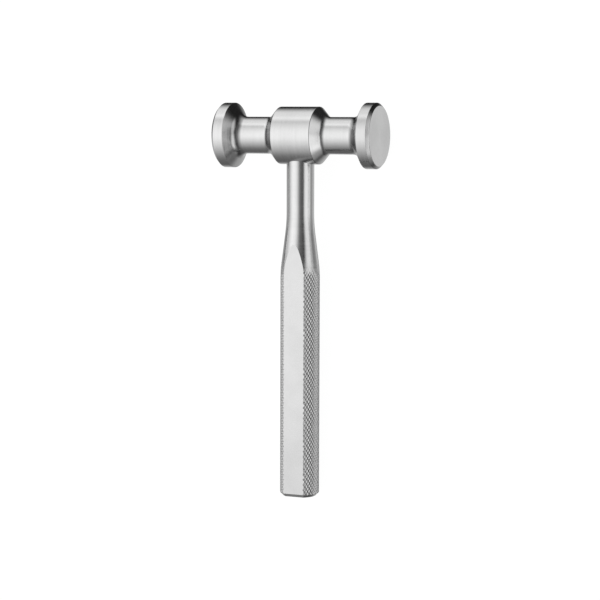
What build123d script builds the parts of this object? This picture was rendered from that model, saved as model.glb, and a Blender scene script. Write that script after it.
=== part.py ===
"""Surgical mallet: a turned head with two striking faces on a knurled handle.

Millimetres, +Z up. The mallet lies on the floor as it comes to rest: on the rims
of both striking faces and on the tail of the handle. The head runs along X, and
the handle runs from it towards -Y and slopes down to the floor at its tail.
"""

import math
import os

from build123d import *

os.makedirs("parts", exist_ok=True)

# Head
face_diameter = 30.0
head_length = 77.6
face_chamfer = 1.3
rim_width = 4.6
rim_cone_length = 4.05
neck_diameter = 17.0
neck_rim_fillet = 4.8
neck_drum_fillet = 3.2
drum_diameter = 26.4
drum_length = 19.0
drum_cone_length = 4.3

# Handle, measured from the head's axis
handle_reach = 167.1
shank_diameter = 12.7
flare_start = 40.3
flare_end = 62.0
flare_start_radius = 80.0
flare_end_radius = 64.0
grip_diameter = 18.2
width_over_flats = 15.1
flat_start = 36.0
tail_chamfer = 1.5

# Joint between head and handle
seat_distance = 10.5
spigot_diameter = 8.0
spigot_length = 14.5
spigot_chamfer = 0.8
spigot_clearance = 0.1
shank_clearance = 0.05
bore_end_gap = 1.0
bore_tip_angle = 59.0

face_radius = face_diameter / 2
neck_radius = neck_diameter / 2
drum_radius = drum_diameter / 2
shank_radius = shank_diameter / 2
grip_radius = grip_diameter / 2
flat_height = width_over_flats / 2
spigot_radius = spigot_diameter / 2
bore_radius = spigot_radius + spigot_clearance
counterbore_radius = shank_radius + shank_clearance

face_x = head_length / 2
rim_front_x = face_x - face_chamfer
rim_back_x = rim_front_x - rim_width
neck_outer_x = rim_back_x - rim_cone_length
drum_edge_x = drum_length / 2
neck_inner_x = drum_edge_x + drum_cone_length

# The slope that lets the back flat's edge at the tail touch the floor
tail_edge_reach = handle_reach - tail_chamfer
tail_edge_distance = math.hypot(tail_edge_reach, flat_height)
slope = math.asin(face_radius / tail_edge_distance) - math.atan2(flat_height, tail_edge_reach)

# The head's axis, placed so that the origin is under the middle of the whole box
tail_reach_y = handle_reach * math.cos(slope) + (flat_height - tail_chamfer) * math.sin(slope)
head_y = (tail_reach_y - face_radius) / 2
head_centre = (0, head_y, face_radius)

down_handle = (0, -math.cos(slope), -math.sin(slope))
over_handle = (0, -math.sin(slope), math.cos(slope))

head_section = Plane(origin=head_centre, x_dir=(1, 0, 0), z_dir=(0, -1, 0))
head_axis = Axis(head_centre, (1, 0, 0))
handle_section = Plane(origin=head_centre, x_dir=down_handle, z_dir=(1, 0, 0))
handle_axis = Axis(head_centre, down_handle)
handle_start = Plane(origin=head_centre, x_dir=(1, 0, 0), z_dir=down_handle)

with BuildPart() as head:
    with BuildSketch(head_section):
        with BuildLine():
            Polyline(
                (-face_x, 0),
                (-face_x, face_radius - face_chamfer),
                (-rim_front_x, face_radius),
                (-rim_back_x, face_radius),
                (-neck_outer_x, neck_radius),
                (-neck_inner_x, neck_radius),
                (-drum_edge_x, drum_radius),
                (drum_edge_x, drum_radius),
                (neck_inner_x, neck_radius),
                (neck_outer_x, neck_radius),
                (rim_back_x, face_radius),
                (rim_front_x, face_radius),
                (face_x, face_radius - face_chamfer),
                (face_x, 0),
                close=True,
            )
        make_face()
    revolve(axis=head_axis)
    neck_ends = [
        edge
        for edge in head.edges().filter_by(GeomType.CIRCLE)
        if math.isclose(edge.radius, neck_radius)
    ]
    neck_ends_by_distance = sorted(neck_ends, key=lambda edge: abs(edge.center().X))
    fillet(neck_ends_by_distance[:2], neck_drum_fillet)
    fillet(neck_ends_by_distance[2:], neck_rim_fillet)
    # Seat for the shank's shoulder, open to the underside of the drum
    with BuildSketch(handle_start.offset(seat_distance)):
        Circle(counterbore_radius)
    extrude(amount=drum_radius, mode=Mode.SUBTRACT)
    # Blind bore for the spigot, with a drill point at its inner end
    bore_floor = seat_distance - spigot_length - bore_end_gap
    drill_point = bore_radius / math.tan(math.radians(bore_tip_angle))
    with BuildSketch(handle_section):
        with BuildLine():
            Polyline(
                (bore_floor - drill_point, 0),
                (bore_floor, bore_radius),
                (seat_distance, bore_radius),
                (seat_distance, 0),
                close=True,
            )
        make_face()
    revolve(axis=handle_axis, mode=Mode.SUBTRACT)

with BuildPart() as handle:
    spigot_end = seat_distance - spigot_length
    with BuildSketch(handle_section) as handle_profile:
        with BuildLine():
            Polyline(
                (spigot_end, 0),
                (spigot_end, spigot_radius - spigot_chamfer),
                (spigot_end + spigot_chamfer, spigot_radius),
                (seat_distance, spigot_radius),
                (seat_distance, shank_radius),
                (flare_start, shank_radius),
                (flare_end, grip_radius),
                (handle_reach, grip_radius),
                (handle_reach, 0),
                close=True,
            )
        make_face()
        shank_corner = handle_profile.vertices().sort_by_distance((flare_start, shank_radius))[0]
        fillet(shank_corner, flare_start_radius)
        grip_corner = handle_profile.vertices().sort_by_distance((flare_end, grip_radius))[0]
        fillet(grip_corner, flare_end_radius)
    revolve(axis=handle_axis)
    # Front and back flats, which run out in an arch on the flare
    flat_band = grip_radius - flat_height
    with BuildSketch(handle_start.offset(flat_start)):
        with Locations((0, flat_height + flat_band / 2), (0, -flat_height - flat_band / 2)):
            Rectangle(grip_diameter, flat_band)
    extrude(amount=handle_reach - flat_start, mode=Mode.SUBTRACT)
    tail_face = handle.faces().sort_by(handle_axis)[-1]
    chamfer(tail_face.edges(), tail_chamfer)

head.part.label = "head"
handle.part.label = "handle"
export_step(head.part, "parts/head.step")
export_step(handle.part, "parts/handle.step")
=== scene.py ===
"""Dresses the surgical mallet: turned head, flared handle with knurled grip, soft studio light."""

import logging
import math
from dataclasses import dataclass, field
from enum import Enum
from typing import Callable, Sequence

import bmesh
import bpy
from mathutils import Matrix, Vector


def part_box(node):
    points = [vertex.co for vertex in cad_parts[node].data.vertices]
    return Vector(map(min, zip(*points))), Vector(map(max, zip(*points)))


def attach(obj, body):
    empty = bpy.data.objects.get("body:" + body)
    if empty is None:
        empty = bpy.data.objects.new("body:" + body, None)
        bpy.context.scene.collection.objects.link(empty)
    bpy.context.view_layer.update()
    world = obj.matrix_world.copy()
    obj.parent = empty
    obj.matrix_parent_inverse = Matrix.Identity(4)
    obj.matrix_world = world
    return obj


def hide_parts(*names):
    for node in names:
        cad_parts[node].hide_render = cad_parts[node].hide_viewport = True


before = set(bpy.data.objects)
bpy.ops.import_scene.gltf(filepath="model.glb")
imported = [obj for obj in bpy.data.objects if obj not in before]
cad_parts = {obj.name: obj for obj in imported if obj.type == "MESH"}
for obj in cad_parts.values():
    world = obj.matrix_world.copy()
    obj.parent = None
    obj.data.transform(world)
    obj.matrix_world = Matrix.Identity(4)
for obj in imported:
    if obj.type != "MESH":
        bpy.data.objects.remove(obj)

LOG = logging.getLogger("mallet")
MM = 0.001
DEGREES = 180 / math.pi
CUT_TOLERANCE = 1e-7
TURNED_MERGE = 1e-6
SHEET_MERGE = 2e-6
SEAM_MERGE = 5e-6
LEVEL_NORMAL = 0.9999
NEAR = 0.01
ARC_STEP_DEGREES = 9.0
ARC_STEP_LENGTH = 1.3
FEWEST_ARC_STEPS = 4
Point = tuple[float, float]


class Grain(Enum):
    """How the fine lines of a finish run on a piece."""

    AROUND = "around the axis"
    ALONG = "along the axis"


class End(Enum):
    """Which way round a light panel's turn is measured from straight above."""

    HEAD = "towards the head"
    TAIL = "towards the tail"


@dataclass(frozen=True)
class Corner:
    """One corner of a turned outline, in millimetres.

    Attributes:
        along: Place along the turning axis.
        out: Distance from the turning axis.
        blend: Radius that rounds the corner, 0 for a sharp one.
    """

    along: float
    out: float
    blend: float = 0.0


@dataclass(frozen=True)
class Place:
    """Where the mallet lies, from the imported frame.

    Attributes:
        centre: The point where the head's and the handle's axes cross, in metres.
        slope: The handle's fall towards its tail, in radians.
    """

    centre: Vector
    slope: float

    @property
    def down_handle(self) -> Vector:
        """The direction from the head to the tail."""
        return Vector((0.0, -math.cos(self.slope), -math.sin(self.slope)))

    @property
    def over_handle(self) -> Vector:
        """The direction out of the front flat."""
        return Vector((0.0, -math.sin(self.slope), math.cos(self.slope)))


def find_place(handle: "Handle") -> Place:
    """Reads the head's centre from the frame and works out the handle's slope.

    Args:
        handle: The handle, whose tail touches the floor.

    Returns:
        The place of the mallet.
    """
    low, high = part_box("head")
    centre = (Vector(low) + Vector(high)) / 2
    reach = (handle.reach - handle.tail_chamfer) * MM
    height = handle.flat_height * MM
    fall = math.asin(centre.z / math.hypot(reach, height)) - math.atan2(height, reach)
    return Place(centre, fall)


# Modelling steps


def start_clean() -> None:
    """Leaves edit mode and deselects every object."""
    if bpy.context.mode != "OBJECT":
        bpy.ops.object.mode_set(mode="OBJECT")
    bpy.ops.object.select_all(action="DESELECT")


def edit(piece: bpy.types.Object) -> None:
    """Opens one object alone in edit mode."""
    start_clean()
    piece.select_set(True)
    bpy.context.view_layer.objects.active = piece
    bpy.ops.object.mode_set(mode="EDIT")


def select_verts(piece: bpy.types.Object, wanted: Callable[[Vector], bool]) -> int:
    """Selects the vertices of a piece in edit mode by their place.

    Args:
        piece: The object in edit mode.
        wanted: Says whether a vertex at that place is selected.

    Returns:
        How many vertices are selected.
    """
    mesh = bmesh.from_edit_mesh(piece.data)
    for vert in mesh.verts:
        vert.select_set(bool(wanted(vert.co)))
    mesh.select_flush(True)
    bmesh.update_edit_mesh(piece.data)
    return sum(v.select for v in mesh.verts)


def select_faces(piece: bpy.types.Object, wanted: Callable[[Vector, Vector], bool]) -> int:
    """Selects the faces of a piece in edit mode by their middle and normal.

    Args:
        piece: The object in edit mode.
        wanted: Says whether a face with that middle and normal is selected.

    Returns:
        How many faces are selected.
    """
    bpy.ops.mesh.select_mode(type="FACE")
    bpy.ops.mesh.select_all(action="DESELECT")
    mesh = bmesh.from_edit_mesh(piece.data)
    for face in mesh.faces:
        face.select_set(bool(wanted(face.calc_center_median(), face.normal)))
    bmesh.update_edit_mesh(piece.data)
    return sum(f.select for f in mesh.faces)


def select_rim(piece: bpy.types.Object, wanted: Callable[[Vector], bool]) -> None:
    """Selects the open edges of a piece in edit mode by the place of their middle.

    Args:
        piece: The object in edit mode.
        wanted: Says whether an open edge with its middle there is selected.
    """
    bpy.ops.mesh.select_mode(type="EDGE")
    bpy.ops.mesh.select_all(action="DESELECT")
    mesh = bmesh.from_edit_mesh(piece.data)
    for edge in mesh.edges:
        middle = (edge.verts[0].co + edge.verts[1].co) / 2
        edge.select_set(edge.is_boundary and bool(wanted(middle)))
    bmesh.update_edit_mesh(piece.data)


def turned(
    name: str, points: Sequence[Vector], axis: tuple[float, float, float], segments: int
) -> bpy.types.Object:
    """Draws an outline point by point and spins it round an axis through the origin.

    Args:
        name: The object's name.
        points: The outline, in metres.
        axis: The axis it is spun round.
        segments: Steps of the spin.

    Returns:
        The turned object, in object mode.
    """
    start_clean()
    bpy.ops.mesh.primitive_plane_add(size=MM, location=(0, 0, 0))
    piece = bpy.context.active_object
    piece.name = name
    edit(piece)
    bpy.ops.mesh.merge(type="CENTER")
    bpy.ops.transform.translate(value=points[0])
    for before, after in zip(points, points[1:]):
        bpy.ops.mesh.extrude_region_move(TRANSFORM_OT_translate={"value": after - before})
    bpy.ops.mesh.select_all(action="SELECT")
    bpy.ops.mesh.spin(steps=segments, angle=math.tau, center=(0, 0, 0), axis=axis)
    bpy.ops.mesh.select_all(action="SELECT")
    bpy.ops.mesh.remove_doubles(threshold=TURNED_MERGE)
    bpy.ops.mesh.normals_make_consistent(inside=False)
    bpy.ops.object.mode_set(mode="OBJECT")
    return piece


def rounded(corners: Sequence[Corner], hold: float = 0.12) -> list[Point]:
    """Turns the corners of an outline into points, with an arc at each blended corner.

    Args:
        corners: The corners in order.
        hold: Distance beyond each arc of a point that keeps the next face flat.

    Returns:
        The points of the outline, in millimetres.
    """
    points: list[Point] = []
    for index, corner in enumerate(corners):
        here = Vector((corner.along, corner.out))
        if corner.blend <= 0:
            points.append((here.x, here.y))
            continue
        before = Vector((corners[index - 1].along, corners[index - 1].out)) - here
        after = Vector((corners[index + 1].along, corners[index + 1].out)) - here
        room = min(before.length, after.length) / 2
        one, two = before.normalized(), after.normalized()
        turn = math.pi - one.angle(two)
        reach = corner.blend * math.tan(turn / 2)
        middle = here + (one + two).normalized() * (corner.blend / math.cos(turn / 2))
        steps = max(
            FEWEST_ARC_STEPS,
            math.ceil(math.degrees(turn) / ARC_STEP_DEGREES),
            math.ceil(corner.blend * turn / ARC_STEP_LENGTH),
        )
        first, last = here + one * reach - middle, here + two * reach - middle
        if reach + hold < room:
            spot = here + one * (reach + hold)
            points.append((spot.x, spot.y))
        for step in range(steps + 1):
            share = step / steps
            spoke = (
                first * math.sin((1 - share) * turn) + last * math.sin(share * turn)
            ) / math.sin(turn)
            spot = middle + spoke
            points.append((spot.x, spot.y))
        if reach + hold < room:
            spot = here + two * (reach + hold)
            points.append((spot.x, spot.y))
    return points


def finish_piece(piece: bpy.types.Object, turn: Matrix, smooth_below: float) -> None:
    """Puts a piece in its place, with its object back at the origin, and shades it.

    Args:
        piece: The modelled object, built round the origin.
        turn: The matrix that carries it to its place.
        smooth_below: Edges that bend less than this many degrees are shaded smooth.
    """
    start_clean()
    piece.select_set(True)
    bpy.context.view_layer.objects.active = piece
    piece.matrix_world = turn
    bpy.ops.object.transform_apply(location=True, rotation=True, scale=True)
    bpy.ops.object.shade_smooth_by_angle(
        angle=math.radians(smooth_below), keep_sharp_edges=True
    )


# Shader building


class Wiring:
    """Adds nodes to a tree and joins them, so that a material reads top to bottom."""

    def __init__(self, tree: bpy.types.NodeTree) -> None:
        """Starts on a tree with no nodes.

        Args:
            tree: The node tree to fill.
        """
        self.tree = tree
        tree.nodes.clear()

    def add(self, kind: str, **settings: object) -> bpy.types.Node:
        """Adds a node and sets its properties.

        Args:
            kind: The node's type name.
            **settings: Properties of the node.

        Returns:
            The new node.
        """
        node = self.tree.nodes.new(kind)
        for name, value in settings.items():
            setattr(node, name, value)
        return node

    def join(self, source: object, target: bpy.types.NodeSocket) -> None:
        """Links an output to an input, or writes a plain value into it.

        Args:
            source: An output socket, or a value.
            target: The input socket.
        """
        if isinstance(source, bpy.types.NodeSocket):
            self.tree.links.new(source, target)
        else:
            target.default_value = source

    def math(self, operation: str, *values: object, clamp: bool = False) -> bpy.types.NodeSocket:
        """A Math node on up to three values.

        Args:
            operation: The operation's name.
            *values: Sockets or numbers.
            clamp: Whether the result stays between 0 and 1.

        Returns:
            The result socket.
        """
        node = self.add("ShaderNodeMath", operation=operation, use_clamp=clamp)
        for value, target in zip(values, node.inputs):
            self.join(value, target)
        return node.outputs[0]

    def vector(self, operation: str, *values: object, scale: object = None) -> bpy.types.Node:
        """A Vector Math node.

        Args:
            operation: The operation's name.
            *values: Sockets or vectors.
            scale: The factor, for the SCALE operation.

        Returns:
            The node, whose outputs are Vector and Value.
        """
        node = self.add("ShaderNodeVectorMath", operation=operation)
        for value, target in zip(values, node.inputs):
            self.join(value, target)
        if scale is not None:
            self.join(scale, node.inputs["Scale"])
        return node

    def ramp(
        self, value: object, low: float, high: float, to_low: float = 0.0, to_high: float = 1.0
    ) -> bpy.types.NodeSocket:
        """A smooth Map Range from one span to another.

        Args:
            value: The value that is mapped.
            low: Where the result starts to leave to_low.
            high: Where the result reaches to_high.
            to_low: The result below low.
            to_high: The result above high.

        Returns:
            The result socket.
        """
        node = self.add("ShaderNodeMapRange", interpolation_type="SMOOTHSTEP")
        for name, number in (
            ("From Min", low),
            ("From Max", high),
            ("To Min", to_low),
            ("To Max", to_high),
        ):
            node.inputs[name].default_value = number
        self.join(value, node.inputs["Value"])
        return node.outputs["Result"]


def new_group(name: str, inputs: dict[str, object], outputs: dict[str, str]) -> Wiring:
    """Makes an empty shader node group with named sockets.

    Args:
        name: The group's name.
        inputs: Each input's name, and its default number or vector.
        outputs: Each output's name, and its socket type.

    Returns:
        Wiring on the group's tree.
    """
    tree = bpy.data.node_groups.new(name, "ShaderNodeTree")
    for label, value in inputs.items():
        kind = "NodeSocketVector" if isinstance(value, tuple) else "NodeSocketFloat"
        socket = tree.interface.new_socket(label, in_out="INPUT", socket_type=kind)
        socket.default_value = value
    for label, kind in outputs.items():
        tree.interface.new_socket(label, in_out="OUTPUT", socket_type=kind)
    return Wiring(tree)


def turned_place_group() -> bpy.types.NodeTree:
    """A point's place on a turned piece: along the axis, out from it, and round it.

    Returns:
        The node group.
    """
    net = new_group(
        "turned place",
        {"Centre": (0.0, 0.0, 0.0), "Axis": (1.0, 0.0, 0.0), "Across": (0.0, 0.0, 1.0)},
        {"Along": "NodeSocketFloat", "Out": "NodeSocketFloat", "Round": "NodeSocketFloat"},
    )
    given = net.add("NodeGroupInput")
    result = net.add("NodeGroupOutput")
    point = net.add("ShaderNodeTexCoord").outputs["Object"]
    offset = net.vector("SUBTRACT", point, given.outputs["Centre"]).outputs["Vector"]
    along = net.vector("DOT_PRODUCT", offset, given.outputs["Axis"]).outputs["Value"]
    axial = net.vector("SCALE", given.outputs["Axis"], scale=along).outputs["Vector"]
    spoke = net.vector("SUBTRACT", offset, axial).outputs["Vector"]
    side = net.vector("CROSS_PRODUCT", given.outputs["Axis"], given.outputs["Across"])
    x = net.vector("DOT_PRODUCT", spoke, given.outputs["Across"]).outputs["Value"]
    y = net.vector("DOT_PRODUCT", spoke, side.outputs["Vector"]).outputs["Value"]
    net.join(along, result.inputs["Along"])
    net.join(net.vector("LENGTH", spoke).outputs["Value"], result.inputs["Out"])
    net.join(net.math("ARCTAN2", y, x), result.inputs["Round"])
    return net.tree


def fine_lines_group() -> bpy.types.NodeTree:
    """Fine tool lines: noise that is drawn out along the lines.

    Returns:
        The node group.
    """
    net = new_group(
        "fine lines",
        {"Vector": (0.0, 0.0, 0.0), "Fineness": 4000.0, "Roughness": 0.7},
        {"Height": "NodeSocketFloat", "Streaks": "NodeSocketFloat"},
    )
    given = net.add("NodeGroupInput")
    result = net.add("NodeGroupOutput")
    fine = net.add("ShaderNodeTexNoise", noise_dimensions="3D")
    net.join(given.outputs["Vector"], fine.inputs["Vector"])
    net.join(given.outputs["Fineness"], fine.inputs["Scale"])
    fine.inputs["Detail"].default_value = 3.0
    net.join(given.outputs["Roughness"], fine.inputs["Roughness"])
    broad = net.add("ShaderNodeTexNoise", noise_dimensions="3D")
    net.join(given.outputs["Vector"], broad.inputs["Vector"])
    net.join(net.math("MULTIPLY", given.outputs["Fineness"], 0.21), broad.inputs["Scale"])
    broad.inputs["Detail"].default_value = 4.0
    net.join(fine.outputs["Fac"], result.inputs["Height"])
    net.join(broad.outputs["Fac"], result.inputs["Streaks"])
    return net.tree


def handling_group() -> bpy.types.NodeTree:
    """Faint cloudy marks of handling and cleaning on a satin surface.

    Returns:
        The node group.
    """
    net = new_group(
        "handling marks",
        {"Size": 90.0, "Amount": 1.0},
        {"Mask": "NodeSocketFloat"},
    )
    given = net.add("NodeGroupInput")
    result = net.add("NodeGroupOutput")
    point = net.add("ShaderNodeTexCoord").outputs["Object"]
    cloud = net.add("ShaderNodeTexNoise", noise_dimensions="3D")
    net.join(point, cloud.inputs["Vector"])
    net.join(given.outputs["Size"], cloud.inputs["Scale"])
    cloud.inputs["Detail"].default_value = 5.0
    cloud.inputs["Roughness"].default_value = 0.6
    patch = net.ramp(cloud.outputs["Fac"], 0.35, 0.7)
    net.join(net.math("MULTIPLY", patch, given.outputs["Amount"]), result.inputs["Mask"])
    return net.tree


@dataclass
class Effects:
    """The shader node groups that the finishes share."""

    turned_place: bpy.types.NodeTree = field(default_factory=turned_place_group)
    fine_lines: bpy.types.NodeTree = field(default_factory=fine_lines_group)
    handling: bpy.types.NodeTree = field(default_factory=handling_group)


@dataclass(frozen=True)
class Wear:
    """How far the streaks, the handling marks and the knurl change the steel; the knurl's pits take
    painted shade.

    Attributes:
        streak_rough: Roughness that a streak adds.
        mark_rough: Roughness that a handling mark adds.
        streak_tone: Reflectance that a streak adds.
        mark_tone: Reflectance that a handling mark adds.
        pit_shade: Share of the tone that a knurl pit adds, painted shade that darkens the pits.
        tooth_tone: Share of the tone that the knurl adds between the pits.
        marked_pit_shade: Share of a pit's painted shade that a handling mark adds; it is negative,
            so a mark takes some of the painted shade away.
        knurl_rough: Roughness that the knurl adds.
        least_rough: The least roughness.
        round_stretch: Metres that a turning line is drawn out for each radian round.
        along_stretch: Share that is left of the length of a line along the axis.
    """

    streak_rough: float = 0.18
    mark_rough: float = 0.03
    streak_tone: float = 0.10
    mark_tone: float = -0.012
    pit_shade: float = -0.80
    tooth_tone: float = 0.07
    marked_pit_shade: float = -0.35
    knurl_rough: float = 0.15
    least_rough: float = 0.05
    round_stretch: float = 0.0008
    along_stretch: float = 0.03


@dataclass(frozen=True)
class SteelFinish:
    """A satin finish of bare stainless steel.

    Attributes:
        name: The material's name.
        tone: The steel's reflectance, 0 to 1.
        rough: The base roughness.
        spread: How much the tool lines stretch the reflections, 0 to 1.
        grain: Which way the tool lines run.
        line_depth: Height of the fine lines, in metres.
        fineness: Fine lines per metre.
        painted_shade_bands: (place along the axis in millimetres, share of the tone) pairs, painted
            shade that darkens the steel in bands along the axis.
        knurl: The knurl whose pits are darkened with painted shade, or none.
        wear: How far streaks, marks and the knurl change the steel.
    """

    name: str
    tone: float = 0.52
    rough: float = 0.20
    spread: float = 0.45
    grain: Grain = Grain.AROUND
    line_depth: float = 2.0e-6
    fineness: float = 5200.0
    painted_shade_bands: tuple[Point, ...] = ()
    knurl: "Knurl | None" = None
    wear: Wear = Wear()

    def make(
        self, effects: Effects, centre: Vector, axis: Vector, across: Vector
    ) -> bpy.types.Material:
        """Builds the material for a piece turned about an axis.

        Args:
            effects: The shared node groups.
            centre: A point on the piece's axis, in metres.
            axis: The axis's direction.
            across: A direction square to the axis, where the angle is 0.

        Returns:
            The material.
        """
        material = bpy.data.materials.new(self.name)
        material.use_nodes = True
        net = Wiring(material.node_tree)
        out = net.add("ShaderNodeOutputMaterial")
        steel = net.add("ShaderNodeBsdfPrincipled")
        place = net.add("ShaderNodeGroup", node_tree=effects.turned_place)
        place.inputs["Centre"].default_value = centre
        place.inputs["Axis"].default_value = axis
        place.inputs["Across"].default_value = across
        stretch = net.add("ShaderNodeCombineXYZ")
        if self.grain is Grain.AROUND:
            net.join(place.outputs["Along"], stretch.inputs["X"])
            net.join(place.outputs["Out"], stretch.inputs["Y"])
            around = net.math("MULTIPLY", place.outputs["Round"], self.wear.round_stretch)
            net.join(around, stretch.inputs["Z"])
        else:
            sideways = net.math(
                "MULTIPLY", net.math("SINE", place.outputs["Round"]), place.outputs["Out"]
            )
            net.join(sideways, stretch.inputs["X"])
            along = net.math("MULTIPLY", place.outputs["Along"], self.wear.along_stretch)
            net.join(along, stretch.inputs["Y"])
        lines = net.add("ShaderNodeGroup", node_tree=effects.fine_lines)
        net.join(stretch.outputs["Vector"], lines.inputs["Vector"])
        lines.inputs["Fineness"].default_value = self.fineness
        marks = net.add("ShaderNodeGroup", node_tree=effects.handling)
        bump = net.add("ShaderNodeBump")
        bump.inputs["Strength"].default_value = 1.0
        bump.inputs["Distance"].default_value = self.line_depth
        net.join(lines.outputs["Height"], bump.inputs["Height"])
        net.join(bump.outputs["Normal"], steel.inputs["Normal"])

        wear = self.wear
        mask = marks.outputs["Mask"]
        streaks = net.math("SUBTRACT", lines.outputs["Streaks"], 0.5)
        rough = net.math("MULTIPLY_ADD", streaks, wear.streak_rough, self.rough)
        rough = net.math("MULTIPLY_ADD", mask, wear.mark_rough, rough)
        tone = net.math("MULTIPLY_ADD", streaks, wear.streak_tone, self.tone)
        tone = net.math("MULTIPLY_ADD", mask, wear.mark_tone, tone)
        if self.knurl:
            along = place.outputs["Along"]
            # Painted shade: the base colour is darkened where the knurl's grooves cross and is a
            # little lighter on the teeth between; handling marks take some of that shade away.
            pit_shade_left = net.math("MULTIPLY_ADD", mask, wear.marked_pit_shade, 1.0)
            pits = net.math("MULTIPLY", self._pits(net, place), pit_shade_left)
            pit_shade_and_tooth_tone = net.math("MULTIPLY_ADD", pits, wear.pit_shade, wear.tooth_tone)
            # The pits' painted shade fades in along the axis, starting on the plain flare before
            # the knurl's start.
            share = net.ramp(along, *self.knurl.pit_shade_comes_in)
            tone = net.math("MULTIPLY", tone, net.math("MULTIPLY_ADD", share, pit_shade_and_tooth_tone, 1.0))
            matt = net.ramp(along, *self.knurl.turns_matt)
            rough = net.math("MULTIPLY_ADD", matt, wear.knurl_rough, rough)
        # Painted shade: the tone is multiplied by bands along the axis that darken the steel where
        # shade falls.
        if self.painted_shade_bands:
            tone = net.math("MULTIPLY", tone, self._painted_shade_bands(net, place.outputs["Along"]))
        net.join(net.math("MAXIMUM", rough, wear.least_rough), steel.inputs["Roughness"])
        colour = net.add("ShaderNodeCombineColor")
        for channel in ("Red", "Green", "Blue"):
            net.join(tone, colour.inputs[channel])
        net.join(colour.outputs["Color"], steel.inputs["Base Color"])
        steel.inputs["Metallic"].default_value = 1.0
        steel.inputs["Anisotropic"].default_value = self.spread
        if self.spread:
            self._lay(net, steel, centre, axis)
        net.join(steel.outputs["BSDF"], out.inputs["Surface"])
        return material

    def _pits(self, net: Wiring, place: bpy.types.Node) -> bpy.types.NodeSocket:
        """Where the knurl's two families of grooves cross, which the finish darkens with painted
        shade.

        Args:
            net: The material's wiring.
            place: The node that gives the place on the turned piece.

        Returns:
            The mask's socket, 1 at a crossing and 0 over a tooth.
        """
        knurl = self.knurl
        mask: object = 1.0
        for pitch, starts in (
            (knurl.right_pitch, knurl.right_starts), (knurl.left_pitch, -knurl.left_starts)
        ):
            phase = net.math("MULTIPLY", place.outputs["Round"], float(starts))
            phase = net.math("MULTIPLY_ADD", place.outputs["Along"], math.tau / (pitch * MM), phase)
            wave = net.math("MULTIPLY_ADD", net.math("COSINE", phase), -0.5, 0.5)
            mask = net.math("MULTIPLY", mask, wave)
        return mask

    def _painted_shade_bands(self, net: Wiring, along: bpy.types.NodeSocket) -> bpy.types.NodeSocket:
        """The share of the tone at each place along the axis, painted shade.

        Args:
            net: The material's wiring.
            along: The place along the axis, in metres.

        Returns:
            The share's socket.
        """
        first, last = self.painted_shade_bands[0][0], self.painted_shade_bands[-1][0]
        span = (last - first) * MM
        node = net.add("ShaderNodeValToRGB")
        stops = node.color_ramp.elements
        for index, (spot, share) in enumerate(self.painted_shade_bands):
            step = (spot - first) * MM / span
            if index in (0, len(self.painted_shade_bands) - 1):
                stop = stops[0 if index == 0 else -1]
                stop.position = step
            else:
                stop = stops.new(step)
            stop.color = (share, share, share, 1.0)
        net.join(net.math("MULTIPLY_ADD", along, 1 / span, -first * MM / span), node.inputs["Fac"])
        return node.outputs["Color"]

    def _lay(
        self, net: Wiring, steel: bpy.types.Node, centre: Vector, axis: Vector
    ) -> None:
        """Turns the stretched reflections square to the tool lines.

        Args:
            net: The material's wiring.
            steel: The shader node.
            centre: A point on the axis.
            axis: The axis's direction.
        """
        normal = net.add("ShaderNodeNewGeometry").outputs["Normal"]
        point = net.add("ShaderNodeTexCoord").outputs["Object"]
        offset = net.vector("SUBTRACT", point, tuple(centre)).outputs["Vector"]
        around = net.vector("CROSS_PRODUCT", tuple(axis), offset).outputs["Vector"]
        if self.grain is Grain.AROUND:
            lay = net.vector("CROSS_PRODUCT", around, normal).outputs["Vector"]
        else:
            lay = net.vector("CROSS_PRODUCT", tuple(axis), normal).outputs["Vector"]
        net.join(net.vector("NORMALIZE", lay).outputs["Vector"], steel.inputs["Tangent"])


# Painted shade: the head's bands darken the cones and fillets behind the rims, the drum's left cone
# and the right face's chamfer, where shade falls.
HEAD_STEEL = SteelFinish(
    "turned head steel",
    painted_shade_bands=((-33.0, 1.0), (-32.8, 0.76), (-27.0, 0.76), (-26.2, 1.0), (-14.4, 1.0),
            (-13.4, 0.50), (-9.7, 0.60), (-9.3, 1.0), (9.3, 1.0), (9.7, 0.98), (13.6, 0.98),
            (14.4, 1.0), (26.6, 1.0), (28.0, 0.5), (32.7, 0.6), (33.0, 0.95), (37.4, 0.95),
            (37.6, 0.62), (38.6, 0.70), (38.75, 1.0)),
)
TAIL_STEEL = SteelFinish("turned tail steel", tone=0.66)
# Painted shade: the flats' tone falls towards the tail.
FLAT_STEEL = SteelFinish(
    "ground flat steel", rough=0.30, spread=0.4, grain=Grain.ALONG, fineness=3000.0,
    painted_shade_bands=((40.0, 1.0), (110.0, 1.0), (167.0, 0.91)),
)


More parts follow.
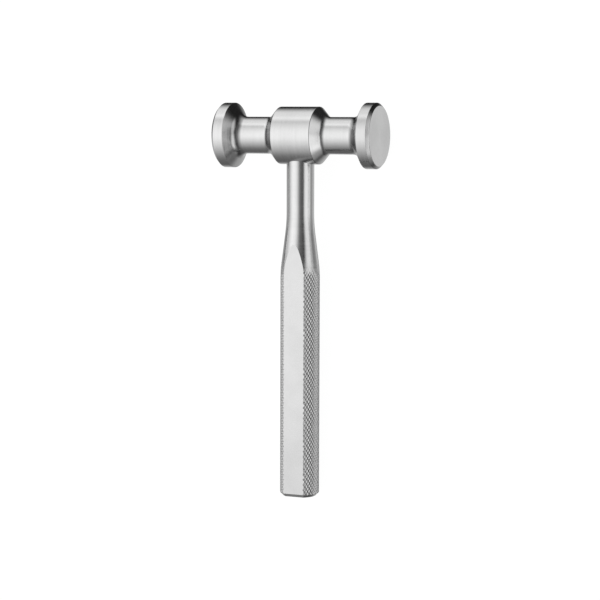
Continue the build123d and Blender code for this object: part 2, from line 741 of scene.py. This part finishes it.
@dataclass
class Head:
    """The head: two disc faces, two necks and a drum, turned from one bar. Millimetres.

    Attributes:
        length: From face to face.
        face_radius: Radius of the discs.
        face_chamfer: Size of the chamfer round a face.
        rim_width: Width of a disc's rim.
        rim_cone: Length of the cone behind a rim.
        neck_radius: Radius of the necks.
        drum_radius: Radius of the drum.
        drum_length: Length of the drum between its cones.
        drum_cone: Length of a cone at the drum's end.
        outer_fillet: Radius between a neck and a rim's cone.
        inner_fillet: Radius between a neck and a drum's cone.
        face_edge: Radius of a face's edge.
        rim_edge: Radius of a rim's edges.
        drum_edge: Radius of the drum's edges.
        segments: Steps of the spin.
        smooth_below: Edges that bend less than this many degrees are shaded smooth.
    """

    length: float = 77.6
    face_radius: float = 15.0
    face_chamfer: float = 1.3
    rim_width: float = 4.6
    rim_cone: float = 4.05
    neck_radius: float = 8.5
    drum_radius: float = 13.2
    drum_length: float = 19.0
    drum_cone: float = 4.3
    outer_fillet: float = 4.8
    inner_fillet: float = 3.2
    face_edge: float = 0.6
    rim_edge: float = 0.15
    drum_edge: float = 0.45
    segments: int = 192
    smooth_below: float = 40.0

    def half_outline(self) -> list[Corner]:
        """The corners from the middle of the drum to the middle of a face."""
        face = self.length / 2
        rim_front = face - self.face_chamfer
        rim_back = rim_front - self.rim_width
        neck_outer = rim_back - self.rim_cone
        drum_end = self.drum_length / 2
        return [
            Corner(drum_end, self.drum_radius, self.drum_edge),
            Corner(drum_end + self.drum_cone, self.neck_radius, self.inner_fillet),
            Corner(neck_outer, self.neck_radius, self.outer_fillet),
            Corner(rim_back, self.face_radius, self.rim_edge),
            Corner(rim_front, self.face_radius, self.rim_edge),
            Corner(face, self.face_radius - self.face_chamfer, self.face_edge),
            Corner(face, 0.0),
        ]

    def outline(self) -> list[Point]:
        """The whole outline from one face's middle to the other's."""
        half = self.half_outline()
        back = [Corner(-c.along, c.out, c.blend) for c in reversed(half)]
        return rounded(back + half)

    def build(self, place: Place) -> bpy.types.Object:
        """Draws the outline point by point and spins it round the head's axis.

        Args:
            place: Where the mallet lies.

        Returns:
            The finished object.
        """
        points = [Vector((along, 0.0, out)) * MM for along, out in self.outline()]
        piece = turned("mallet_head", points, (1, 0, 0), self.segments)
        finish_piece(piece, Matrix.Translation(place.centre), self.smooth_below)
        return piece

    def dress(self, piece: bpy.types.Object, effects: Effects, place: Place) -> None:
        """Gives the head its finish.

        Args:
            piece: The head's object.
            effects: The shared node groups.
            place: Where the mallet lies.
        """
        piece.data.materials.append(
            HEAD_STEEL.make(effects, place.centre, Vector((1, 0, 0)), Vector((0, 0, 1)))
        )


@dataclass(frozen=True)
class Knurl:
    """Two crossing families of helical grooves with flat-topped teeth between. Millimetres.

    Attributes:
        right_starts: Grooves, counted round, that run down to the right.
        left_starts: Grooves, counted round, that run down to the left.
        right_pitch: Spacing of the right family along the axis.
        left_pitch: Spacing of the left family along the axis.
        groove_radius: Radius of the groove floors.
        crest_radius: Radius of the tooth tops.
        start: Where the knurl starts along the handle.
        end: Where it ends.
        flank: Width of a tooth's side.
        shoulder: Width of the sloping border of a tooth's top.
        shoulder_rise: Height of that border.
        matt_lead: How far before the start the bar begins to turn matt.
        matt_length: The length over which it turns matt.
        pit_shade_lead: How far before the start the painted shade of the pits begins to come in.
        pit_shade_length: The length over which it comes in.
        fade_step: Length of the bands in which the teeth are lowered to the bar.
        fade_steps: How many such bands there are.
        end_step: Length of the two bands that lower the teeth at the end.
    """

    right_starts: int = 31
    left_starts: int = 39
    right_pitch: float = 2.58
    left_pitch: float = 2.236
    groove_radius: float = 8.92
    crest_radius: float = 9.1
    start: float = 61.0
    end: float = 165.8
    flank: float = 0.18
    shoulder: float = 0.13
    shoulder_rise: float = 0.05
    matt_lead: float = 5.0
    matt_length: float = 6.0
    pit_shade_lead: float = 2.0
    pit_shade_length: float = 5.0
    fade_step: float = 0.4
    fade_steps: int = 22
    end_step: float = 0.1

    @property
    def turns_matt(self) -> Point:
        """Where the bar begins to turn matt and where it is, in metres."""
        begin = self.start - self.matt_lead
        return begin * MM, (begin + self.matt_length) * MM

    @property
    def pit_shade_comes_in(self) -> Point:
        """Where the painted shade of the pits begins to come in and where it is full, in metres."""
        begin = self.start - self.pit_shade_lead
        return begin * MM, (begin + self.pit_shade_length) * MM

    @property
    def around(self) -> float:
        """The length once round the groove floors."""
        return math.tau * self.groove_radius

    @property
    def slopes(self) -> tuple[float, float]:
        """How steeply the right and the left family run."""
        return (
            self.right_pitch * self.right_starts / self.around,
            self.left_pitch * self.left_starts / self.around,
        )

    @property
    def steps(self) -> tuple[Vector, Vector]:
        """The unrolled pattern's repeat along a right groove and along a left groove."""
        right, left = self.slopes
        along_right = self.left_pitch / (right + left)
        along_left = self.right_pitch / (right + left)
        return (
            Vector((-along_right, 0.0, right * along_right)),
            Vector((-along_left, 0.0, -left * along_left)),
        )

    def tooth(self) -> bpy.types.Object:
        """Models one tooth of the unrolled pattern, standing up along -Y.

        Returns:
            The tooth's object, open in edit mode.
        """
        one, two = self.steps
        side, end = (one + two) / 2, (one - two) / 2
        start_clean()
        bpy.ops.mesh.primitive_circle_add(
            vertices=4, radius=MM, fill_type="NGON", rotation=(math.pi / 2, 0, 0)
        )
        tooth = bpy.context.active_object
        bpy.ops.object.transform_apply(location=True, rotation=True, scale=True)
        edit(tooth)
        bpy.ops.transform.resize(
            value=(abs(side.x), 1.0, abs(end.z)), center_override=(0, 0, 0)
        )
        for sign in (1, -1):
            select_verts(tooth, lambda co: co.x * sign * math.copysign(1, side.x) > 0.5 * MM)
            bpy.ops.transform.translate(value=(0, 0, sign * side.z * MM))
        for sign in (1, -1):
            select_verts(tooth, lambda co: co.z * sign > 0.8 * abs(end.z) * MM)
            bpy.ops.transform.translate(value=(sign * end.x * MM, 0, 0))
        bpy.ops.mesh.select_all(action="SELECT")
        rise = self.crest_radius - self.groove_radius - self.shoulder_rise
        for width, height in ((self.flank, rise), (self.shoulder, self.shoulder_rise)):
            bpy.ops.mesh.inset(thickness=width * MM, depth=0.0)
            bpy.ops.transform.translate(value=(0, -height * MM, 0))
        return tooth

    def sheet(self) -> bpy.types.Object:
        """Repeats the tooth over the unrolled grip and trims it to a rectangle.

        Returns:
            The sheet's object, open in edit mode.
        """
        piece = self.tooth()
        right, left = self.slopes
        half = self.around / 2
        corners = [(s, t) for s in (-half, half) for t in (self.start, self.end)]
        firsts: list[int] = []
        for step, pitch, index in zip(
            self.steps,
            (self.left_pitch, self.right_pitch),
            (lambda s, t: t + left * s, lambda s, t: right * s - t),
        ):
            marks = [index(s, t) / pitch for s, t in corners]
            first, last = math.floor(min(marks)) - 1, math.ceil(max(marks)) + 1
            firsts.append(first)
            bpy.ops.object.mode_set(mode="OBJECT")
            rows = piece.modifiers.new("rows", "ARRAY")
            rows.count = last - first + 1
            rows.use_relative_offset = False
            rows.use_constant_offset = True
            rows.constant_offset_displace = step * MM
            bpy.ops.object.modifier_apply(modifier="rows")
        edit(piece)
        bpy.ops.mesh.select_all(action="SELECT")
        origin = (self.steps[0] * firsts[0] + self.steps[1] * firsts[1]) * MM
        bpy.ops.transform.translate(value=origin)
        bpy.ops.mesh.remove_doubles(threshold=SHEET_MERGE)
        for spot, outward in (
            ((half, 0, 0), (1, 0, 0)),
            ((-half, 0, 0), (-1, 0, 0)),
            ((0, 0, self.end), (0, 0, 1)),
            ((0, 0, self.start), (0, 0, -1)),
        ):
            bpy.ops.mesh.select_all(action="SELECT")
            bpy.ops.mesh.bisect(
                plane_co=Vector(spot) * MM,
                plane_no=outward,
                clear_outer=True,
                threshold=CUT_TOLERANCE,
            )
        return piece

    def fade(self, piece: bpy.types.Object, height_at: Callable[[float], float]) -> None:
        """Lowers the teeth where the bar is thinner, and flattens both ends to a circle.

        Args:
            piece: The sheet in edit mode.
            height_at: The bar's height over the groove floors at a place along it.
        """
        full = self.crest_radius - self.groove_radius
        bpy.ops.mesh.select_mode(type="VERT")
        first, step, last = self.start, self.fade_step, self.end_step
        bands = [(first + step * k, first + step * (k + 1)) for k in range(self.fade_steps)]
        bands += [(self.end - 2 * last, self.end - last), (self.end - last, self.end)]
        for low, high in bands:
            share = height_at((low + high) / 2) / full
            select_verts(piece, lambda co: low * MM <= co.z < high * MM)
            bpy.ops.transform.resize(value=(1, share, 1), center_override=(0, 0, 0))
        for end in (self.start, self.end):
            select_verts(piece, lambda co: abs(co.z - end * MM) < SHEET_MERGE)
            bpy.ops.transform.resize(value=(1, 0, 1), center_override=(0, 0, 0))

    def roll(self, piece: bpy.types.Object) -> None:
        """Rolls the sheet into a tube about Z, with its seam at -Y, and closes the seam.

        Args:
            piece: The sheet in edit mode.
        """
        bpy.ops.object.mode_set(mode="OBJECT")
        bend = piece.modifiers.new("roll", "SIMPLE_DEFORM")
        bend.deform_method = "BEND"
        bend.deform_axis = "Z"
        bend.angle = math.tau
        bpy.ops.object.modifier_apply(modifier="roll")
        edit(piece)
        bpy.ops.mesh.select_all(action="SELECT")
        radius = self.groove_radius * MM
        bpy.ops.transform.rotate(
            value=math.pi, orient_axis="Z", center_override=(0, radius, 0)
        )
        bpy.ops.transform.translate(value=(0, -radius, 0))
        bpy.ops.mesh.remove_doubles(threshold=SEAM_MERGE)


BAR_STEEL = SteelFinish("shank and grip steel", knurl=Knurl())


@dataclass
class Handle:
    """The handle: shank, flare, knurled grip with two flats, tail. Millimetres.

    It is modelled with its axis along Z from the head's axis to the tail, and Y out of
    the front flat.

    Attributes:
        reach: From the head's axis to the end of the tail.
        inner_end: From the head's axis to the end that seats in the head.
        shank_radius: Radius of the shank.
        flare_start: Where the flare would start with sharp corners.
        flare_end: Where it would end with sharp corners.
        flare_start_blend: Radius of the blend at its start.
        flare_end_blend: Radius of the blend at its end.
        body_radius: Radius of the grip.
        flat_height: Height of a flat over the axis.
        tail_chamfer: Size of the chamfer round the tail.
        edge_blend: Radius of the tail's edge.
        segments: Steps of the shank's spin.
        smooth_below: Edges that bend less than this many degrees are shaded smooth.
        ring_gap: The least distance from the flare's last ring to the knurl.
        collar_gap: The distance from the collar, where the shank ends, to the knurl.
        collar_drop: How far the collar lies below the groove floors.
        knurl: The knurl on the grip.
    """

    reach: float = 167.1
    inner_end: float = 10.5
    shank_radius: float = 6.35
    flare_start: float = 40.3
    flare_end: float = 62.0
    flare_start_blend: float = 80.0
    flare_end_blend: float = 64.0
    body_radius: float = 9.1
    flat_height: float = 7.55
    tail_chamfer: float = 1.5
    edge_blend: float = 0.2
    segments: int = 128
    smooth_below: float = 24.0
    ring_gap: float = 0.5
    collar_gap: float = 0.25
    collar_drop: float = 0.005
    knurl: Knurl = field(default_factory=Knurl)

    def flare(self) -> list[Point]:
        """The shank's and the flare's outline, as (along, radius)."""
        return rounded(
            [
                Corner(self.inner_end, self.shank_radius),
                Corner(self.flare_start, self.shank_radius, self.flare_start_blend),
                Corner(self.flare_end, self.body_radius, self.flare_end_blend),
                Corner(self.reach, self.body_radius),
            ]
        )

    def tooth_room(self, along: float) -> float:
        """The bar's height over the knurl's groove floors at a place along it."""
        outline = self.flare()
        radius = self.body_radius
        for before, after in zip(outline, outline[1:]):
            if before[0] <= along < after[0]:
                share = (along - before[0]) / (after[0] - before[0])
                radius = before[1] + share * (after[1] - before[1])
        chamfer = self.knurl.groove_radius + max(0.0, self.knurl.end - along)
        return max(0.0, min(radius, chamfer) - self.knurl.groove_radius)

    def build(self, place: Place) -> bpy.types.Object:
        """Models the knurl, the tail and the shank, joins them and mills the flats.

        Args:
            place: Where the mallet lies.

        Returns:
            The finished object.
        """
        shank = self._shank()
        piece = self.knurl.sheet()
        piece.name = "mallet_handle"
        self.knurl.fade(piece, self.tooth_room)
        self.knurl.roll(piece)
        self._draw_tail(piece)
        self._unite(piece, shank)
        self._mill(piece)
        turn = Matrix.Translation(place.centre) @ Matrix.Rotation(
            math.pi / 2 + place.slope, 4, "X"
        )
        bpy.ops.object.mode_set(mode="OBJECT")
        finish_piece(piece, turn, self.smooth_below)
        return piece

    def _shank(self) -> bpy.types.Object:
        """Turns the shank and the flare, open where the knurl starts."""
        knurl = self.knurl
        rings = [p for p in self.flare() if p[0] < knurl.start - self.ring_gap]
        collar = (knurl.start - self.collar_gap, knurl.groove_radius - self.collar_drop)
        outline = [(self.inner_end, 0.0), *rings, collar]
        points = [Vector((out, 0.0, along)) * MM for along, out in outline]
        return turned("shank", points, (0, 0, 1), self.segments)

    def _draw_tail(self, piece: bpy.types.Object) -> None:
        """Extrudes the knurl's tail end over the chamfer and closes it."""
        end = self.knurl.end
        select_rim(piece, lambda co: co.z > (end - NEAR) * MM)
        edge = self.body_radius - self.tail_chamfer
        outline = rounded(
            [
                Corner(end, self.knurl.groove_radius),
                Corner(self.reach, edge, self.edge_blend),
                Corner(self.reach, 0.0),
            ]
        )
        level, radius = end, self.knurl.groove_radius
        for along, out in outline[1:-1]:
            bpy.ops.mesh.extrude_edges_move(
                TRANSFORM_OT_translate={"value": (0, 0, (along - level) * MM)}
            )
            grow = out / radius
            bpy.ops.transform.resize(
                value=(grow, grow, 1.0), center_override=(0, 0, along * MM)
            )
            level, radius = along, out
        bpy.ops.mesh.edge_face_add()

    def _unite(self, piece: bpy.types.Object, shank: bpy.types.Object) -> None:
        """Joins the shank to the knurl's head end.

        Args:
            piece: The knurled grip.
            shank: The shank.
        """
        start_clean()
        shank.select_set(True)
        piece.select_set(True)
        bpy.context.view_layer.objects.active = piece
        bpy.ops.object.join()
        edit(piece)
        start = self.knurl.start
        select_rim(piece, lambda co: (start - 1) * MM < co.z < (start + 1) * MM)
        bpy.ops.mesh.bridge_edge_loops()
        bpy.ops.mesh.select_all(action="SELECT")
        bpy.ops.mesh.normals_make_consistent(inside=False)

    def _mill(self, piece: bpy.types.Object) -> None:
        """Cuts the front and back flats, chamfers their ends and keeps their borders crisp."""
        chamfer_start = self.reach - self.tail_chamfer
        for side in (1, -1):
            for start, lean in ((0.0, 0.0), (chamfer_start, 1.0)):
                bpy.ops.mesh.select_all(action="SELECT")
                bpy.ops.mesh.bisect(
                    plane_co=(0, side * self.flat_height * MM, start * MM),
                    plane_no=(0, side, lean),
                    use_fill=True,
                    clear_outer=True,
                    threshold=CUT_TOLERANCE,
                )
                bpy.ops.mesh.mark_sharp()

    def dress(self, piece: bpy.types.Object, effects: Effects, place: Place) -> None:
        """Gives the shank, the knurl and the flats their finishes.

        Args:
            piece: The handle's object.
            effects: The shared node groups.
            place: Where the mallet lies.
        """
        axis, across = place.down_handle, place.over_handle
        for finish in (TAIL_STEEL, BAR_STEEL, FLAT_STEEL):
            piece.data.materials.append(finish.make(effects, place.centre, axis, across))
        edit(piece)
        bar_end = self.knurl.end * MM

        def on_bar(middle: Vector, normal: Vector) -> bool:
            along = (middle - place.centre).dot(axis)
            return along < bar_end and abs(normal.dot(across)) < LEVEL_NORMAL

        def on_flat(middle: Vector, normal: Vector) -> bool:
            height = abs((middle - place.centre).dot(across))
            level = abs(normal.dot(across)) > LEVEL_NORMAL
            return level and height > (self.flat_height - NEAR) * MM

        for index, test in ((1, on_bar), (2, on_flat)):
            count = select_faces(piece, test)
            LOG.info("handle: %d faces take finish %d", count, index)
            piece.active_material_index = index
            bpy.ops.object.material_slot_assign()
        bpy.ops.object.mode_set(mode="OBJECT")


@dataclass(frozen=True)
class Span:
    """A soft-edged range of angles, in degrees.

    Attributes:
        low: Where it is half faded at the lower end.
        high: Where it is half faded at the upper end.
        soft_low: Width of the fade at the lower end.
        soft_high: Width of the fade at the upper end.
    """

    low: float
    high: float
    soft_low: float = 20.0
    soft_high: float = 20.0


EVERYWHERE = Span(-400.0, 400.0)


@dataclass(frozen=True)
class Panel:
    """One soft light panel far away.

    Attributes:
        name: The panel's name.
        level: Its brightness.
        side: Its range from the left (-90) to the right (90).
        over: Its height over the floor's plane, from below (-90) to above (90).
        turn: Its range from straight above (0) to below (180).
        end: The end that turn is measured towards.
    """

    name: str
    level: float
    side: Span = EVERYWHERE
    over: Span = EVERYWHERE
    turn: Span = EVERYWHERE
    end: End = End.HEAD


@dataclass(frozen=True)
class Softbox:
    """The large front light, whose brightness falls off softly both ways.

    Attributes:
        level: Its greatest brightness.
        side: Its brightness from the left (-90 degrees) to the right (90), as
            (angle, share) pairs.
        turn: Its brightness from below (-180 degrees) round the tail end (-90), the front
            (0) and the head end (90) to below (180), as (angle, share) pairs.
        skew: How far the side curve shifts for each degree of turn to the head end.
    """

    level: float
    side: tuple[Point, ...]
    turn: tuple[Point, ...]
    skew: float = 0.25


SOFTBOX = Softbox(
    1.68,
    ((-90, 0.30), (-80, 0.43), (-57, 0.82), (-38, 1.0), (-18, 0.94), (0, 0.64), (8, 0.42),
     (16, 0.21), (26, 0.10), (38, 0.08), (50, 0.0), (90, 0.0)),
    ((-180, 0.06), (-120, 0.10), (-98, 0.15), (-75, 0.32), (-50, 0.58), (-28, 0.82),
     (3, 1.0), (35, 0.88), (52, 0.70), (63, 0.45), (75, 0.20), (90, 0.0), (180, 0.0)),
)
PANELS = (
    Panel("head end", 1.40, side=Span(-110.0, -2.0, 30.0, 50.0),
          turn=Span(62.0, 120.0, 24.0, 48.0)),
    Panel("right wall, head end", 1.32, side=Span(47.0, 200.0, 26.0),
          over=Span(-200.0, 31.0, 10.0, 24.0), turn=Span(0.0, 112.0, 40.0, 30.0)),
    Panel("right wall, tail end", 1.60, side=Span(46.0, 200.0, 26.0),
          over=Span(-200.0, 38.0, 10.0, 24.0), turn=Span(0.0, 104.0, 40.0, 30.0), end=End.TAIL),
    Panel("far right", 0.70, side=Span(66.0, 200.0, 16.0),
          over=Span(-200.0, 10.0), turn=Span(112.0, 170.0, 30.0, 20.0)),
    Panel("right behind", 1.30, side=Span(62.0, 200.0, 20.0),
          over=Span(-22.0, 200.0, 36.0), turn=Span(128.0, 400.0), end=End.TAIL),
    Panel("low right, tail end", 0.38, side=Span(12.0, 32.0, 16.0, 16.0),
          turn=Span(150.0, 400.0, 40.0), end=End.TAIL),
    Panel("low right, head end", 0.48, side=Span(12.0, 32.0, 16.0, 16.0),
          turn=Span(168.0, 400.0, 16.0)),
    Panel("low left", 0.60, side=Span(-200.0, -55.0, 10.0, 20.0),
          turn=Span(100.0, 150.0, 30.0, 20.0), end=End.TAIL),
    Panel("tail end", 0.46, side=Span(28.0, 60.0), turn=Span(70.0, 135.0, 30.0, 30.0),
          end=End.TAIL),
    Panel("below tail", 0.55, turn=Span(148.0, 400.0, 36.0), end=End.TAIL),
    Panel("below head", 0.45, turn=Span(164.0, 400.0, 20.0)),
)


@dataclass
class Studio:
    """The pale floor, the soft light and the camera.

    Attributes:
        floor_size: Side of the square floor, in metres.
        floor_glow: Strength of the floor's own light.
        floor_tone: Reflectance of the floor.
        camera_place: Place of the camera in the mallet's axes, in millimetres.
        camera_forward: Where the camera looks, in the mallet's axes.
        camera_up: What is up for the camera, in the mallet's axes.
        lens: Focal length, in millimetres.
        sensor: Width of the camera's sensor, in millimetres.
        softbox: The large front light.
        panels: The other lights.
        ambient: Brightness of the dark parts of the room.
    """

    floor_size: float = 30.0
    floor_glow: float = 0.97
    floor_tone: float = 0.08
    camera_place: tuple[float, float, float] = (348.06, 8.84, 815.61)
    camera_forward: tuple[float, float, float] = (-0.39076, -0.09503, -0.91557)
    camera_up: tuple[float, float, float] = (-0.03999, 0.99547, -0.08626)
    lens: float = 115.57
    sensor: float = 36.0
    softbox: Softbox = SOFTBOX
    panels: tuple[Panel, ...] = PANELS
    ambient: float = 0.03

    def lay_floor(self) -> bpy.types.Object:
        """Makes the plain pale floor.

        Returns:
            The floor's object.
        """
        start_clean()
        bpy.ops.mesh.primitive_plane_add(size=self.floor_size, location=(0, 0, 0))
        floor = bpy.context.active_object
        floor.name = "floor"
        floor.visible_glossy = False
        material = bpy.data.materials.new("pale floor")
        material.use_nodes = True
        net = Wiring(material.node_tree)
        out = net.add("ShaderNodeOutputMaterial")
        shade = net.add("ShaderNodeBsdfPrincipled")
        shade.inputs["Base Color"].default_value = (self.floor_tone,) * 3 + (1,)
        shade.inputs["Roughness"].default_value = 1.0
        shade.inputs["Specular IOR Level"].default_value = 0.0
        shade.inputs["Emission Color"].default_value = (1, 1, 1, 1)
        shade.inputs["Emission Strength"].default_value = self.floor_glow
        net.join(shade.outputs["BSDF"], out.inputs["Surface"])
        floor.data.materials.append(material)
        return floor

    def light(self) -> None:
        """Lights the scene with soft panels all round and a white surround for the camera."""
        world = bpy.data.worlds.new("studio")
        bpy.context.scene.world = world
        world.use_nodes = True
        net = Wiring(world.node_tree)
        out = net.add("ShaderNodeOutputWorld")
        look = net.add("ShaderNodeTexCoord").outputs["Generated"]
        split = net.add("ShaderNodeSeparateXYZ")
        net.join(look, split.inputs[0])
        side = net.math("MULTIPLY", net.math("ARCSINE", split.outputs["X"]), DEGREES)
        turn = net.math("ARCTAN2", split.outputs["Y"], split.outputs["Z"])
        turn = net.math("MULTIPLY", turn, DEGREES)
        over = net.math("MULTIPLY", net.math("ARCSINE", split.outputs["Z"]), DEGREES)
        turns = {End.HEAD: turn, End.TAIL: net.math("MULTIPLY", turn, -1.0)}
        upward = net.math("MAXIMUM", turn, 0.0)
        skewed = net.math("MULTIPLY_ADD", upward, self.softbox.skew, side)
        front = net.math(
            "MULTIPLY",
            self._profile(net, skewed, self.softbox.side),
            self._profile(net, turn, self.softbox.turn),
        )
        total = net.math("MULTIPLY_ADD", front, self.softbox.level, self.ambient)
        for panel in self.panels:
            share = panel.level
            for angle, span in (
                (side, panel.side), (over, panel.over), (turns[panel.end], panel.turn)
            ):
                if span is not EVERYWHERE:
                    share = net.math("MULTIPLY", share, self._window(net, angle, span))
            total = net.math("ADD", total, share)
        light = net.add("ShaderNodeBackground")
        light.inputs["Color"].default_value = (1, 1, 1, 1)
        net.join(total, light.inputs["Strength"])
        surround = net.add("ShaderNodeBackground")
        surround.inputs["Color"].default_value = (1, 1, 1, 1)
        mix = net.add("ShaderNodeMixShader")
        net.join(net.add("ShaderNodeLightPath").outputs["Is Camera Ray"], mix.inputs[0])
        net.join(light.outputs[0], mix.inputs[1])
        net.join(surround.outputs[0], mix.inputs[2])
        net.join(mix.outputs[0], out.inputs["Surface"])

    def _profile(
        self, net: Wiring, angle: bpy.types.NodeSocket, points: tuple[Point, ...]
    ) -> bpy.types.NodeSocket:
        """A smooth curve over an angle.

        Args:
            net: The world's wiring.
            angle: The angle, in degrees.
            points: The curve's points, from the lowest angle to the highest.

        Returns:
            The curve's value.
        """
        first, last = points[0][0], points[-1][0]
        node = net.add("ShaderNodeFloatCurve")
        curve = node.mapping.curves[0]
        for index, (place, share) in enumerate(points):
            spot = ((place - first) / (last - first), share)
            if index in (0, len(points) - 1):
                curve.points[0 if index == 0 else -1].location = spot
            else:
                curve.points.new(*spot)
        node.mapping.update()
        share = net.math("MULTIPLY_ADD", angle, 1 / (last - first), -first / (last - first))
        net.join(share, node.inputs["Value"])
        return node.outputs[0]

    def _window(
        self, net: Wiring, angle: bpy.types.NodeSocket, span: Span
    ) -> bpy.types.NodeSocket:
        """A mask that is 1 inside a span of angles.

        Args:
            net: The world's wiring.
            angle: The angle, in degrees.
            span: The span.

        Returns:
            The mask's socket.
        """
        rise = net.ramp(angle, span.low - span.soft_low / 2, span.low + span.soft_low / 2)
        fall = net.ramp(
            angle, span.high - span.soft_high / 2, span.high + span.soft_high / 2, 1.0, 0.0
        )
        return net.math("MULTIPLY", rise, fall)

    def set_camera(self, place: Place) -> None:
        """Puts the camera at the photograph's viewing angle.

        Args:
            place: Where the mallet lies.
        """
        axes = Matrix(
            ((1, 0, 0), tuple(-place.down_handle), tuple(place.over_handle))
        ).transposed()
        spot = place.centre + axes @ Vector(self.camera_place) * MM
        back = -(axes @ Vector(self.camera_forward)).normalized()
        up = (axes @ Vector(self.camera_up)).normalized()
        right = up.cross(back).normalized()
        up = back.cross(right)
        start_clean()
        bpy.ops.object.camera_add(location=spot)
        camera = bpy.context.active_object
        camera.rotation_mode = "QUATERNION"
        camera.rotation_quaternion = Matrix((right, up, back)).transposed().to_quaternion()
        camera.data.sensor_width = self.sensor
        camera.data.lens = self.lens
        camera.data.clip_start = 0.01
        camera.data.clip_end = 100.0
        bpy.context.scene.camera = camera
        bpy.context.scene.view_settings.view_transform = "Standard"


def main() -> None:
    """Builds the mallet and the studio."""
    logging.basicConfig(level=logging.INFO, format="%(name)s: %(message)s")
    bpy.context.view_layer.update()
    effects = Effects()
    head, handle = Head(), Handle()
    place = find_place(handle)
    for part, node, steel in ((head, "head", "head_steel"), (handle, "handle", "handle_steel")):
        piece = part.build(place)
        part.dress(piece, effects, place)
        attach(piece, "root")
        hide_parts(node)
        LOG.info("%s: %d faces", piece.name, len(piece.data.polygons))
    studio = Studio()
    studio.lay_floor()
    studio.light()
    studio.set_camera(place)


if __name__ == "__main__":
    main()
